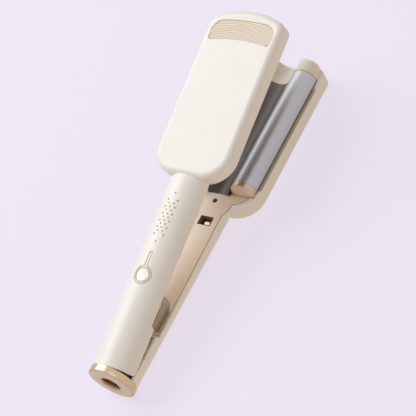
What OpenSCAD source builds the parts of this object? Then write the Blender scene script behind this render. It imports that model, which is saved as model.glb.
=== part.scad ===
// Hair waver: two tong arms on one hinge beside the tail ring. The lower arm carries two
// heated barrels with a trough between them, and the upper arm carries the barrel and the
// two side plates that mesh with them.
// Y runs from the tail ring to the nose, Z is up, and the lower arm lies on its flat back.

/* [Arms] */
// Length from the tail ring's edge to the lower arm's nose tip
arm_len = 333; // [328:1:342]
// Distance from the tail to the paddles' handle end
handle_len = 177; // [176:0.5:180]
// Distance that the upper arm's nose stops short of the lower arm's
nose_lead = 2; // [0:0.1:3]
// Angle between the arms when the springs hold them open, in degrees
open_deg = 10.6; // [9:0.1:12]
// Wall of the two outer shells
wall = 2; // [1.8:0.1:2.2]
// Radius of the tail ring, and so the height of its axis above the table
ring_r = 20.5; // [20.3:0.1:21]
// Outer radius of both handle shells
handle_r = 20; // [19.8:0.1:20.2]
// Height of the upper paddle's face above the ring's axis
face_z = 20.5; // [20:0.1:21]

/* [Paddle] */
// Width of both paddles
paddle_w = 74; // [73:0.5:78]
// Radius of the upper paddle's two corners at the nose
upper_corner_r = 10.5; // [9:0.5:12]
// Rise of the upper paddle's curved nose edge at its middle
upper_arch = 5.5; // [4:0.5:7]
// Radius of the lower paddle's two corners at the nose
lower_corner_r = 5; // [4:0.5:6]
// Rise of the lower paddle's curved nose edge at its middle
lower_arch = 3.5; // [2:0.5:5]
// Radius of the two corners beside the handle
root_corner_r = 23; // [21:0.5:24]
// Rounding of the paddles' outer edges
edge_r = 5.3; // [4.5:0.1:6]

/* [Parting lines] */
// Rim of the lower paddle, from the ring's axis
lower_rim_z = -3.5; // [-4:0.1:-3]
// Rim of the upper paddle, from the ring's axis with the arms closed
upper_rim_z = 7.2; // [6.8:0.1:7.8]
// Rim of the lower handle beside the collar
handle_rim_z = -1; // [-1.5:0.1:0]
// Rise of the lower handle's rim towards the paddle
handle_rim_rise = 3; // [0:0.1:3.4]
// Rim of the upper handle with the arms closed
grip_rim_z = 6.8; // [6.4:0.1:7.4]
// Top of the lower shell's collar round the hinge
collar_z = 3; // [2.5:0.1:3.2]
// Distance from the tail that the collar reaches
collar_end = 47.5; // [46:0.5:50]
// Gap between collar and upper shell with the arms closed
collar_gap = 0.4; // [0.4:0.1:0.8]

/* [Barrels] */
// Gap between meshing barrels, which sets their radius
barrel_gap = 2.24; // [1.9:0.02:2.6]
// Wall of the barrels
barrel_wall = 1.6; // [1.2:0.1:2]
// Distance from a lower barrel to the paddle's side
barrel_side = 2.5; // [2.4:0.1:3]
// Depth of the lower barrels' axes below the ring's axis
barrel_sink = 2.75; // [2.5:0.05:3.2]
// Height of the upper barrel's axis above the ring's axis
barrel_lift = 7.65; // [7.5:0.05:8]
// Length of the lower arm beyond the barrels' ends
nose_len = 15; // [13:0.5:17]
// Distance from a paddle's handle end to its barrels
barrel_inset = 22; // [21:0.5:23]
// Depth behind its axis at which a barrel's back is cut open
barrel_back = 8; // [7.6:0.1:8.2]
// Space for hair between a barrel and the plate that it meshes with
hair_gap = 1.9; // [1.6:0.1:2.2]
// Thickness of the trough and the side plates
plate_t = 1.2; // [0.8:0.1:1.4]
// Length of the metal band at a barrel's handle end
band_len = 4.4; // [3:0.1:5]
// Length of the domed cap beyond the band
dome_len = 2.6; // [2:0.1:4.5]
// Width of the guard strips on the lower paddle's long rims
strip_w = 2; // [1.6:0.1:2.2]
// Height of the guard strips
strip_h = 1.2; // [1:0.1:1.5]
// Distance that the saddle between the nose bumps reaches in past the barrels' ends
saddle_reach = 8; // [2:0.5:12]
// Slope of the saddle towards the nose tip, in degrees
saddle_dip = 14; // [0:1:18]

/* [Covers] */
// Middle of the lower handle's inner face, from the ring's axis
floor_z = -3.6; // [-4:0.1:-3.2]
// Underside of the upper handle's inner face with the arms closed
ceiling_z = 11.2; // [11:0.1:11.6]
// Thickness of the two inner covers
cover_t = 1.6; // [1.4:0.1:1.8]
// Radius of the crown across the lower inner face
crown_r = 200; // [150:10:300]
// Width of the lower case's rim round the inner cover's corners
root_rim_w = 5; // [4:0.5:6]
// Width of the catch window
window_w = 13; // [10:0.5:14]
// Length of the catch window
window_len = 9; // [6:0.5:10]
// Distance of the catch window from the middle line
window_x = 1.3; // [0:0.1:2]
// Distance from the middle of the catch window to the paddles
window_back = 14.5; // [12:0.5:18]
// Distance from the paddles' handle end to the cover screw
screw_ahead = 6; // [5:0.5:6.5]
// Radius of the cover screw's head
screw_head_r = 2.2; // [2:0.1:2.5]
// Radius of the cover screws' shank
screw_r = 1.25; // [1:0.05:1.4]

/* [Hinge] */
// Distance from the tail to the hinge axis
hinge_y = 12; // [11.8:0.1:12.4]
// Height of the hinge axis above the ring's axis
hinge_z = 1; // [0.8:0.1:1.2]
// Radius of the pivot pins
pin_r = 2; // [1.8:0.1:2.2]
// Running clearance between pivot pin and bush
pin_clear = 0.03; // [0.02:0.01:0.05]
// Wall of the bushes
bush_wall = 1; // [0.8:0.1:1.2]
// Radius of the hinge ears and knuckles
ear_r = 4.6; // [4.4:0.1:4.8]
// Wire thickness of the opening springs
wire_d = 0.9; // [0.7:0.05:0.95]
// Full turns of each opening spring besides its last half turn
spring_turns = 2; // [1:1:2]
// Height of the guard fins above the ring's axis
fin_top = 10.8; // [10:0.1:10.8]
// Radius of the guard fins' rounded end
fin_r = 12; // [10:0.5:12]
// Distance from the tail to the end of the guard fins
fin_start = 54; // [52:0.5:56]
// Distance from the tail to the centre of the fins' rounded end
fin_turn = 68; // [66:0.5:72]
// Height of the step in the fins' top above the ring's axis
fin_step_z = 7.3; // [6.5:0.1:8]
// Distance from the tail to the end of the step
fin_step_y = 73.5; // [71:0.5:75]

/* [Tail] */
// Length of the tail ring
ring_h = 5.6; // [5:0.1:5.8]
// Wall of the tail ring
ring_wall = 1.2; // [1:0.1:1.4]
// Height of the end cap's face beyond the ring
cap_dome = 1; // [0.6:0.1:1.2]
// Radius of the cord inlet
inlet_r = 7.9; // [7.5:0.1:8.1]
// Radius of the hole in the end cap
mouth_r = 9; // [8.9:0.1:9.4]
// Radius of the groove in the end cap
groove_r = 11.7; // [11:0.1:13]

/* [Controls] */
// Distance from the tail to the power button
button_y = 88; // [86:0.5:90]
// Radius of the power button
button_r = 6.1; // [5.5:0.1:6.2]
// Travel of the power button
button_travel = 0.8; // [0.5:0.1:0.9]
// Outer radius of the button's bezel
bezel_r = 7.7; // [7.5:0.1:8]
// Distance from the tail to the tip of the bezel's tongue
tongue_end = 108.5; // [104:0.5:110]
// Width of the bezel's tongue
tongue_w = 2.4; // [2:0.1:3]
// Radius of the vent holes
vent_r = 0.9; // [0.7:0.05:1]
// Distance from the bezel's tongue to the first vent hole
vent_lead = 8.9; // [7:0.1:10]
// Distance from the last vent hole to the paddles
vent_back = 16.4; // [15:0.1:20]
// Distance of the outer vent holes from the middle line
vent_reach = 4.65; // [4:0.05:5]

/* [Grille] */
// Number of slats in the grille
slat_count = 11; // [8:1:12]
// Distance between the slats
slat_pitch = 1.62; // [1.5:0.01:1.7]
// Width of a slat
slat_w = 0.85; // [0.6:0.05:1]
// Radius of the arcs that the slats follow
slat_arc_r = 160; // [140:1:180]
// Distance from the grille's ends to the paddle's sides
grille_margin = 6; // [6:0.5:11]
// Distance from the nose tip to the grille
grille_inset = 10.5; // [8:0.1:12]
// Radius of the grille's two corners at the nose
grille_corner_r = 11; // [8:0.5:12]
// Rise of the grille's edge at the nose
grille_arch = 1.2; // [0.5:0.1:3]
// Depth of the grille's pocket in the face
grille_depth = 1.2; // [1:0.1:1.4]

/* [Hidden] */
$fn = 64;
seam = 0.1;                 // between pieces of one arm that are fitted together
run_gap = 0.4;              // between pieces that move past each other
far = 60;                   // larger than any section
mid_y = (arm_len - cap_dome) / 2;
half_w = paddle_w / 2;
paddle_y = handle_len;
grille_reach = half_w - grille_margin;
lower_tip = [arm_len, lower_corner_r, lower_arch];
upper_tip = [arm_len - nose_lead, upper_corner_r, upper_arch];
shell_in_r = handle_r - wall;
inner_r = shell_in_r - seam;
ear_z = collar_z + collar_gap;
// where a lower barrel keeps both its gaps, to the paddle's side and to the upper barrel
mesh_rise = barrel_lift + barrel_sink;
mesh_span = 2 * (half_w - barrel_side) + barrel_gap;
barrel_x = (2 * mesh_span - norm([mesh_span, sqrt(3) * mesh_rise])) / 3;
barrel_r = half_w - barrel_side - barrel_x;
barrel_y = paddle_y + barrel_inset;
barrel_end = arm_len - nose_len;
barrel_in_r = barrel_r - barrel_wall;
trough_r = barrel_r + hair_gap;
cap_end = barrel_y - band_len - dome_len;
nose_y = barrel_end + seam;
nose_round = 2;
nose_taper = 2.6;
dome_round = 5;
trough_end = barrel_end - saddle_reach;
// where the line between two meshing barrels' axes leaves each barrel
lean = atan(mesh_rise / barrel_x);
waist_x = barrel_r * cos(lean);
waist_z = barrel_r * sin(lean);
saddle_low = barrel_lift - trough_r - (arm_len - trough_end) * tan(saddle_dip) - plate_t;
arch_top = trough_r - barrel_sink + plate_t;
chassis_inset = wall + 1.5;
cover_inset = wall + seam;
root_rim_t = 4.6;
cover_end = barrel_y - band_len - seam;
strip_start = paddle_y + root_corner_r;
strip_x = half_w - strip_w;
tail_in_r = ring_r - ring_wall - seam;
// the upper shell's end stops against the ring when the arms are open
stop_gap = run_gap;
shell_start = hinge_y - (hinge_y - ring_h - stop_gap - sin(open_deg) * (handle_r - hinge_z))
              / cos(open_deg);
// stations across the hinge, from the middle out
neck_r = 5.5;
yoke_in = 7;
yoke_out = 9.4;
coil_x = yoke_out + run_gap;
block_in = 14.6;
block_out = 16.6;
base_len = 30;
yoke_len = 18;
yoke_top = ceiling_z + cover_t + 1.4;
bush_r = pin_r + pin_clear + bush_wall;
coil_r = bush_r + run_gap + wire_d / 2;
coil_pitch = wire_d + 0.5;
board_z = 13;
board_t = 1;
switch_h = 0.6;
switch_w = 6;
switch_board_w = 17;
switch_board_len = 28;
button_z = board_z + board_t + switch_h + button_travel + 0.2;
tongue_z = handle_r - 0.9;
fin_x = 12.4;
fin_t = 1.5;
pocket_z = face_z - grille_depth;
grille_top = upper_tip[0] - grille_inset;
grille_low = grille_top - (slat_count + 0.5) * slat_pitch;
window_y = paddle_y - window_back;
screw_y = paddle_y + screw_ahead;
vent_first = tongue_end + vent_lead;
vent_last = paddle_y - vent_back;
vent_y = (vent_first + vent_last) / 2;
vent_pitch = (vent_last - vent_first) / 14;
heater_half = 6;
heater_t = 5;
heater_inset = 6;
heater_top = sqrt(pow(barrel_in_r - seam, 2) - heater_half * heater_half);
carrier_half = 7;
carrier_inset = 4;
spring_leg = 4;
leg_points = 3;
board_start = 70;
board_end = paddle_y - 27;
main_board_z = -12.5;
main_board_t = 1.6;
screw_len = 9;
short_screw = 5.5;
head_h = 1;
boss_r = 3.2;
lower_screws_at = [board_start - 4, screw_y];
upper_screws_at = [board_start - 8, paddle_y - 6];
plug_x = -10;
plug_y = screw_y + 4;
trough_y = barrel_y - 9;

// ---- placing ----

// from the tail and the ring's axis to the middle of the part on the table
module lying() {
    translate([0, -mid_y, ring_r]) children();
}

// the upper arm is drawn closed and turned open about the hinge
module opened() {
    lying() translate([0, hinge_y, hinge_z]) rotate([open_deg, 0, 0])
        translate([0, -hinge_y, -hinge_z]) children();
}

// an outline in X and Z, drawn out from y0 to y1
module along(y0, y1) {
    translate([0, y1, 0]) rotate([90, 0, 0]) linear_extrude(y1 - y0) children();
}

// an outline in Y and Z, drawn out from x0 to x1
module across(x0, x1) {
    translate([x0, 0, 0]) rotate([90, 0, 90]) linear_extrude(x1 - x0) children();
}

// a profile of radius and Y, turned about the ring's axis
module lathe() {
    rotate([-90, 0, 0]) rotate_extrude() children();
}

module both_sides() {
    for (s = [0, 1]) mirror([s, 0, 0]) children();
}

// ---- shared shapes ----

// a disc from flat_z to round_z, with the edge at round_z rounded by e
module puck(r, flat_z, round_z, e) {
    s = sign(round_z - flat_z);
    rotate_extrude($fn = 40)
        polygon(concat([[0, flat_z], [r, flat_z]],
            [for (a = [0:15:90]) [r - e + e * cos(a), round_z - s * (e - e * sin(a))]],
            [[0, round_z]]));
}

// a paddle's outline, drawn in by inset, as a body whose edge at round_z is rounded by e;
// tip holds the length, the corner radius and the arch of its nose
module paddle(tip, inset, flat_z, round_z, e) {
    r = max(tip[1] - inset, e);
    root_r = root_corner_r - inset;
    x = half_w - inset;
    hull() {
        for (u = [-1:0.25:1])
            translate([u * (x - r), tip[0] - inset - r - tip[2] * u * u, 0])
                puck(r, flat_z, round_z, e);
        for (s = [-1, 1])
            translate([s * (x - root_r), paddle_y + inset + root_r, 0])
                puck(root_r, flat_z, round_z, e);
    }
}

// section of a barrel, with its back cut open; back is -1 for down and 1 for up
module barrel_section(back) {
    difference() {
        circle(barrel_r);
        circle(barrel_in_r);
        translate([-far / 2, back > 0 ? barrel_back : -barrel_back - far]) square(far);
    }
}

// disc of a barrel's section with the same back, for bands and caps
module barrel_disc(back) {
    difference() {
        circle(barrel_r);
        translate([-far / 2, back > 0 ? barrel_back : -barrel_back - far]) square(far);
    }
}

// band between a barrel and its domed cap
module band(back) {
    along(barrel_y - band_len, barrel_y - seam) barrel_disc(back);
}

// domed cap at a barrel's handle end
module dome(back) {
    intersection() {
        dome_shape(0);
        along(cap_end, barrel_y) barrel_disc(back);
    }
}
module dome_shape(gap) {
    translate([0, barrel_y - band_len - seam, 0]) rotate([90, 0, 0]) rotate_extrude()
        polygon(concat([[0, 0]],
            [for (a = [0:10:90]) [barrel_r + gap - dome_round * (1 - cos(a)),
                (dome_len + gap - 0.4) * sin(a)]],
            [[0, dome_len + gap]]));
}

// flat heater bar pressed against the inside of a barrel; lift points to the hair side
module heater_bar(lift) {
    along(barrel_y + heater_inset, barrel_end - heater_inset)
        translate([-heater_half, lift > 0 ? heater_top - heater_t : -heater_top])
            square([2 * heater_half, heater_t]);
}

// moulded carrier that presses the heater bar into its barrel
module carrier_bar(lift) {
    top = heater_top - heater_t - seam;
    along(barrel_y + carrier_inset, barrel_end - carrier_inset) intersection() {
        circle(barrel_in_r - seam);
        translate([-carrier_half, lift > 0 ? -barrel_back : -top])
            square([2 * carrier_half, top + barrel_back]);
    }
}

// curved plate of the mould round a facing barrel, from angle a0 to a1
module plate_section(a0, a1) {
    mid = (a0 + a1) / 2;
    difference() {
        intersection() {
            circle(trough_r + plate_t, $fn = 96);
            polygon([[0, 0], [far * cos(a0), far * sin(a0)],
                [far * cos(mid) * 2, far * sin(mid) * 2], [far * cos(a1), far * sin(a1)]]);
        }
        circle(trough_r, $fn = 96);
    }
}

// screw with its head at the origin, pointing down
module screw(length) {
    cylinder(r = screw_head_r, h = head_h);
    translate([0, 0, -length]) cylinder(r = screw_r, h = length);
}

// ---- lower arm ----

// side view of the lower handle, with the collar round the hinge
module lower_side() {
    polygon([[ring_h, -far], [ring_h, collar_z], [collar_end, collar_z],
        [collar_end + 0.8, handle_rim_z], [paddle_y - 10, handle_rim_z + handle_rim_rise],
        [paddle_y + 1, lower_rim_z], [paddle_y + 1, -far]]);
}

module lower_shell() lying() color("antiquewhite") {
    difference() {
        union() {
            paddle(lower_tip, 0, lower_rim_z, -ring_r, edge_r);
            intersection() {
                along(ring_h, paddle_y + 1) circle(handle_r, $fn = 96);
                across(-far, far) lower_side();
            }
        }
        paddle(lower_tip, wall, lower_rim_z + 1, wall - ring_r, edge_r - wall);
        along(ring_h - 1, paddle_y + root_corner_r / 2) circle(shell_in_r, $fn = 96);
        strip_seats(seam);
        lower_barrel_space(seam);
        saddle_cut(0);
    }
    root_rim();
    // bosses for the cover screws
    for (y = lower_screws_at) translate([0, y, 0]) difference() {
        translate([0, 0, -shell_in_r]) cylinder(r = boss_r, h = shell_in_r + floor_z - cover_t - seam);
        translate([0, 0, -far / 2]) cylinder(r = screw_r + seam / 2, h = far / 2);
    }
}

// the broad rim at the paddle's root, round the inner cover's corners
module root_rim() {
    difference() {
        intersection() {
            paddle(lower_tip, wall - seam, lower_rim_z, -ring_r, edge_r - wall + seam);
            translate([-far, paddle_y, lower_rim_z - root_rim_t])
                cube([2 * far, cover_end - paddle_y - 1, root_rim_t]);
        }
        translate([0, 0, -far / 2]) linear_extrude(far) cover_outline(root_rim_w - seam);
        along(paddle_y - 1, paddle_y + root_corner_r / 2) circle(shell_in_r, $fn = 96);
        lower_barrel_space(seam);
    }
}

// room for the two lower barrels, their bands and their caps
module lower_barrel_space(gap) {
    both_sides() translate([barrel_x, 0, -barrel_sink])
        along(cap_end - gap, nose_y) circle(barrel_r + gap);
}

// the saddle between the nose bumps, sloping down from the trough to the tip
module saddle_cut(gap) {
    translate([0, trough_end, barrel_lift]) rotate([-saddle_dip, 0, 0])
        along(-gap, far) circle(trough_r - gap, $fn = 96);
}

// room for the guard strips on the long rims
module strip_seats(gap) {
    both_sides() translate([strip_x - gap, strip_start - gap, lower_rim_z - strip_h - gap])
        cube([strip_w + far, arm_len - strip_start + gap, far]);
}

// flat outline of a paddle's inner cover beside the handle
module cover_outline(inset) {
    r = root_corner_r - inset;
    intersection() {
        hull() for (s = [-1, 1]) {
            translate([s * (half_w - root_corner_r), paddle_y + root_corner_r]) circle(r);
            translate([s * (half_w - root_corner_r), arm_len - root_corner_r]) circle(r);
        }
        translate([-far, paddle_y - far]) square([2 * far, cover_end - paddle_y + far]);
    }
}

// section of the lower inner face, crowned across the arm
module crown_section() {
    difference() {
        translate([0, floor_z - crown_r]) circle(crown_r, $fn = 360);
        translate([0, floor_z - cover_t - crown_r]) circle(crown_r, $fn = 360);
    }
}

module lower_cover() lying() color("burlywood") {
    difference() {
        union() {
            intersection() {
                along(collar_end + 1, paddle_y + root_rim_w + 3) crown_section();
                along(collar_end, far * 4) circle(inner_r, $fn = 96);
            }
            intersection() {
                along(paddle_y, cover_end) crown_section();
                translate([0, 0, -far / 2]) linear_extrude(far) cover_outline(root_rim_w);
            }
        }
        both_sides() translate([barrel_x, 0, -barrel_sink]) dome_shape(run_gap);
        translate([-barrel_x + barrel_r, trough_y, floor_z - far / 2])
            cube([2 * (barrel_x - barrel_r), far, far]);
        translate([window_x - window_w / 2, window_y - window_len / 2, -far / 2])
            cube([window_w, window_len, far]);
        for (y = lower_screws_at) translate([0, y, 0]) {
            translate([0, 0, -far / 2]) cylinder(r = screw_r + seam, h = far);
            translate([0, 0, floor_z - head_h - seam]) cylinder(r = screw_head_r + seam, h = far);
        }
        translate([plug_x, plug_y, -far / 2]) cylinder(r = screw_head_r + seam, h = far);
    }
}

module lower_barrel() {
    translate([barrel_x, 0, -barrel_sink]) along(barrel_y, barrel_end) barrel_section(-1);
}
module lower_barrel_left() lying() color("silver") mirror([1, 0, 0]) lower_barrel();
module lower_barrel_right() lying() color("silver") lower_barrel();

module lower_trough() lying() color("dimgray") {
    along(trough_y + seam, trough_end - seam) difference() {
        translate([0, barrel_lift]) plate_section(-154, -26);
        for (s = [-1, 1]) translate([s * barrel_x, -barrel_sink]) circle(barrel_r + run_gap);
    }
}

module lower_bands() lying() color("khaki") both_sides()
    translate([barrel_x, 0, -barrel_sink]) band(-1);

module lower_end_caps() lying() color("peachpuff") both_sides()
    translate([barrel_x, 0, -barrel_sink]) dome(-1);

module lower_heaters() lying() color("firebrick") both_sides()
    translate([barrel_x, 0, -barrel_sink]) heater_bar(1);

module lower_carriers() lying() color("wheat") both_sides()
    translate([barrel_x, 0, -barrel_sink]) carrier_bar(1);

// heat-proof frame under the barrels and the trough
module lower_chassis() lying() color("saddlebrown") {
    top = -barrel_sink - barrel_back - seam;
    ridge = barrel_lift - trough_r - plate_t - seam;
    base = -ring_r + wall + seam;
    width = 2 * (half_w - chassis_inset);
    length = trough_end - barrel_y - 2;
    translate([-width / 2, barrel_y + 1, top - 2.5]) cube([width, length, 2.5]);
    translate([-5, barrel_y + 1, top - 0.5]) cube([10, length, ridge - top + 0.5]);
    for (y = [barrel_y + 4, (barrel_y + barrel_end) / 2, trough_end - 6])
        translate([-width / 2 + 2, y, base]) cube([width - 4, 3, top - 2 - base]);
}

// guard strip along each long rim, which widens into a point at the nose
module guard_strips() lying() color("darkkhaki") intersection() {
    paddle(lower_tip, 0.1, lower_rim_z + 1, -ring_r, edge_r);
    both_sides() translate([strip_x, 0, lower_rim_z - strip_h])
        along(strip_start, arm_len) polygon([[0, 0], [far, 0], [far, strip_h - 0.4],
            [strip_w, strip_h - 0.3], [0, strip_h + 0.3]]);
    both_sides() linear_extrude(far, center = true)
        polygon([[strip_x, strip_start], [strip_x, nose_y], [strip_x - nose_taper, arm_len],
            [far, arm_len], [far, strip_start]]);
}

// nose cap that carries on the wave of the barrels, with a tongue between them
module lower_nose() lying() color("antiquewhite") difference() {
    intersection() {
        paddle(lower_tip, 0.3, saddle_low, barrel_r - barrel_sink, nose_round);
        union() {
            along(nose_y, arm_len) union() {
                for (s = [-1, 1]) translate([s * barrel_x, -barrel_sink]) circle(barrel_r);
                translate([-half_w, -far]) square([2 * half_w, far + lower_rim_z + seam]);
                nose_ridge();
            }
            along(trough_end + seam, nose_y) difference() {
                nose_ridge();
                for (s = [-1, 1]) translate([s * barrel_x, -barrel_sink])
                    circle(barrel_r + run_gap);
            }
        }
    }
    saddle_cut(0);
    // seat in the shell
    difference() {
        translate([-far, trough_end, -far]) cube([2 * far, far, far + lower_rim_z + seam]);
        paddle(lower_tip, wall + seam, lower_rim_z + 1, -ring_r, edge_r - wall);
    }
    both_sides() linear_extrude(far, center = true)
        polygon([[strip_x - seam, trough_end], [strip_x - seam, nose_y],
            [strip_x - nose_taper - seam, arm_len], [far, arm_len], [far, trough_end]]);
}

// the ridge between the two axes' lines, from which the saddle is cut
module nose_ridge() {
    half = barrel_x - waist_x;
    translate([-half, saddle_low]) square([2 * half, waist_z - barrel_sink - saddle_low]);
}

module lower_screws() lying() color("gray") for (y = lower_screws_at)
    translate([0, y, floor_z - head_h - seam / 2]) screw(screw_len);

module screw_plug() lying() color("tan")
    translate([plug_x, plug_y, floor_z - cover_t - 0.2]) cylinder(r = screw_head_r, h = cover_t);

// sprung metal catch seen in the window
module catch_clip() lying() color("lightgray") translate([window_x, window_y, floor_z]) {
    translate([0, -window_len / 2 - 2, -cover_t - 0.9]) cube([5, window_len + 4, 0.7]);
    translate([0, -window_len / 2 + 1.2, -cover_t - 0.9]) cube([5, 0.7, cover_t + 0.1]);
    translate([0, -window_len / 2 + 1.2, -1.4]) cube([5, 3.4, 0.7]);
}

// main board with a cable slot, a relay, a switching chip and three capacitors
module circuit_board() lying() color("seagreen") translate([0, board_start, main_board_z]) {
    half = 11;
    length = board_end - board_start;
    top = main_board_t - 0.1;
    difference() {
        translate([-half, 0, 0]) cube([2 * half, length, main_board_t]);
        translate([-4, length / 3, -1]) cube([8, 10, 4]);
    }
    translate([-8, 4, top]) cube([14, 16, 4]);
    translate([-6, length - 36, top]) cube([9, 12, 4.5]);
    for (x = [-6, 0, 6]) translate([x, length - 12, top]) cylinder(r = 2.4, h = 4.4);
}

// ---- hinge and tail ----

module hinge_block() lying() color("dimgray") difference() {
    intersection() {
        along(ring_h + seam, arm_len) circle(inner_r, $fn = 96);
        union() {
            both_sides() intersection() {
                across(block_in, block_out) union() {
                    translate([hinge_y, hinge_z]) circle(ear_r);
                    translate([hinge_y - ear_r, -far / 2]) square([2 * ear_r, far / 2 + hinge_z]);
                }
                along(ring_h, arm_len) circle(inner_r - run_gap, $fn = 96);
            }
            // base plate with a rest for the springs' long legs
            translate([-far / 2, ring_h + seam, -far]) cube([far, base_len, far - neck_r - 4]);
            both_sides() translate([coil_x, hinge_y + ear_r + 2, -far / 2])
                cube([block_out - coil_x, 3, far / 2 + hinge_z - coil_r - wire_d / 2 - seam]);
        }
    }
    translate([-far, hinge_y, hinge_z]) rotate([0, 90, 0]) cylinder(r = pin_r + seam / 4, h = 2 * far);
}

module pivot_pins() lying() color("silver") both_sides()
    translate([yoke_in - 0.6, hinge_y, hinge_z]) rotate([0, 90, 0])
        cylinder(r = pin_r, h = block_out - yoke_in + 0.6);

// points along one opening spring: a short leg above, the coil round the bush and a long
// leg below, both legs running towards the nose
spring_end = spring_turns + 0.5;
function coil_point(t) = [coil_x + wire_d / 2 + t * coil_pitch,
    hinge_y - coil_r * sin(t * 360), hinge_z + coil_r * cos(t * 360)];
function spring_path() = concat(
    [for (k = [leg_points - 1:-1:1]) coil_point(0) + spring_leg * k * [0, 1, tan(open_deg)]],
    [for (t = [0:1 / 8:spring_end + 0.001]) coil_point(t)],
    [for (k = [1:leg_points]) coil_point(spring_end) + [0, spring_leg * k, 0]]);
// least gap between the turns, which lie one pitch apart
turn_gap = min([for (t = [0:1 / 8:spring_end - 1]) norm(coil_point(t + 1) - coil_point(t))]) - wire_d;
echo(least_gap_between_spring_turns_mm = turn_gap);

// a tube of six sides along a list of points
module wire(path, d) {
    n = len(path);
    function dir(i) = let(v = path[min(i + 1, n - 1)] - path[max(i - 1, 0)]) v / norm(v);
    function ring(i) = let(t = dir(i), u = cross(t, [1, 0, 0]), a = u / norm(u), b = cross(t, a))
        [for (k = [0:5]) path[i] + d / 2 * (cos(k * 60) * a + sin(k * 60) * b)];
    polyhedron(points = [for (i = [0:n - 1]) each ring(i)],
        faces = concat([[for (k = [0:5]) k]],
            [for (i = [0:n - 2], k = [0:5])
                [i * 6 + k, (i + 1) * 6 + k, (i + 1) * 6 + (k + 1) % 6, i * 6 + (k + 1) % 6]],
            [[for (k = [5:-1:0]) (n - 1) * 6 + k]]));
}
module hinge_springs() lying() color("lightgray") both_sides() wire(spring_path(), wire_d);

// curved fins that close the sides of the gap behind the hinge, stepped down at the top
// to clear the upper shell's rim
module guard_fins() lying() color("darkkhaki") {
    foot = floor_z - fin_x * fin_x / (2 * crown_r);
    round = 3;
    both_sides() across(fin_x, fin_x + fin_t) difference() {
        intersection() {
            union() {
                translate([fin_turn, fin_top - 4]) circle(fin_r);
                translate([fin_start, -far / 2]) square([fin_turn - fin_start, far]);
            }
            translate([fin_start, foot]) square([far, fin_top - foot]);
        }
        hull() {
            translate([fin_step_y - round, fin_step_z + round]) circle(round);
            translate([fin_start - 1, fin_step_z]) square([1, far]);
            translate([fin_step_y - round, far]) square([round, 1]);
        }
    }
}

module tail_ring() lying() color("goldenrod") lathe()
    polygon([[ring_r - ring_wall, 0.4], [ring_r - 0.5, 0], [ring_r, 0.5], [ring_r, ring_h - 0.4],
        [ring_r - 0.4, ring_h], [ring_r - ring_wall, ring_h]]);

module tail_plug() lying() color("peachpuff") lathe()
    translate([mouth_r, ring_h - 2.2]) square([tail_in_r - mouth_r, 2.2 - seam]);

module end_cap() lying() color("peachpuff") lathe() difference() {
    polygon([[mouth_r, ring_h - 2.2 - seam], [mouth_r, 0.2 - cap_dome], [mouth_r + 0.4, -cap_dome],
        [tail_in_r - 3, 0.15 - cap_dome], [tail_in_r - 1, 0.5 - cap_dome], [tail_in_r - 0.3, 0],
        [tail_in_r, 0.7], [tail_in_r, ring_h - 2.2 - seam]]);
    translate([groove_r, -cap_dome - 0.2]) square([0.5, 0.6]);
}

module inlet_socket() lying() color("sienna") lathe()
    polygon([[inlet_r, 0.6], [mouth_r - seam, 0.6], [mouth_r - seam, ring_h + 0.9],
        [neck_r, ring_h + 0.9], [neck_r, hinge_y * 2], [neck_r - 1.2, hinge_y * 2],
        [neck_r - 1.2, ring_h], [inlet_r, ring_h]]);

// ---- upper arm, drawn with the arms closed ----

module upper_side() {
    polygon([[shell_start, far], [shell_start, grip_rim_z], [shell_start + 1, ear_z + 1],
        [shell_start + 3, ear_z], [collar_end + 2.5, ear_z], [collar_end + 5, grip_rim_z],
        [paddle_y - 4, grip_rim_z], [paddle_y + 1, upper_rim_z], [paddle_y + 1, far]]);
}

// positions of the vent holes: 1, 2 or 3 in a row, as a long diamond
function vent_row(k) = abs(k) == 7 ? [0] : abs(k) == 5 ? [-1, 1]
    : abs(k) > 5 ? [] : k % 2 == 0 ? [-0.5, 0.5] : [-1, 0, 1];

module grille_field(inset) {
    hull() {
        for (u = [-1:0.25:1])
            translate([u * (grille_reach - grille_corner_r),
                grille_top - grille_corner_r - grille_arch * u * u])
                circle(grille_corner_r - inset, $fn = 48);
        for (s = [-1, 1])
            translate([s * (grille_reach - 2), grille_low]) circle(2 - inset, $fn = 32);
    }
}

// everything above an arc that rises to y at the middle line
module beyond_arc(y) {
    difference() {
        translate([-far, y - 12]) square([2 * far, 40]);
        translate([0, y - slat_arc_r]) circle(slat_arc_r, $fn = 200);
    }
}

module grille_outline(inset) {
    intersection() {
        grille_field(inset);
        beyond_arc(grille_low + inset);
    }
}

module upper_shell() opened() color("floralwhite") {
    difference() {
        union() {
            paddle(upper_tip, 0, upper_rim_z, face_z, edge_r);
            intersection() {
                along(shell_start, paddle_y + 1) circle(handle_r, $fn = 96);
                across(-far, far) upper_side();
            }
        }
        paddle(upper_tip, wall, upper_rim_z - 1, face_z - wall, edge_r - wall);
        along(shell_start - 1, paddle_y + root_corner_r / 2) circle(shell_in_r, $fn = 96);
        along(nose_y, arm_len) facing_barrels(0);
        // keyhole recess for the button's bezel
        translate([0, button_y, 0]) cylinder(r = bezel_r + seam, h = far);
        translate([0, 0, tongue_z - seam]) linear_extrude(far) tongue(seam);
        for (k = [-7:7], u = vent_row(k))
            translate([u * vent_reach, vent_y + k * vent_pitch, 0]) cylinder(r = vent_r, h = far);
        translate([0, 0, pocket_z]) linear_extrude(far) grille_outline(0);
    }
    // bosses for the cover screws
    for (y = upper_screws_at) translate([0, y, ceiling_z + cover_t + seam]) difference() {
        cylinder(r = boss_r, h = shell_in_r - ceiling_z - cover_t);
        translate([0, 0, -1]) cylinder(r = screw_r + seam / 2, h = short_screw + 0.5);
    }
}

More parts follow.
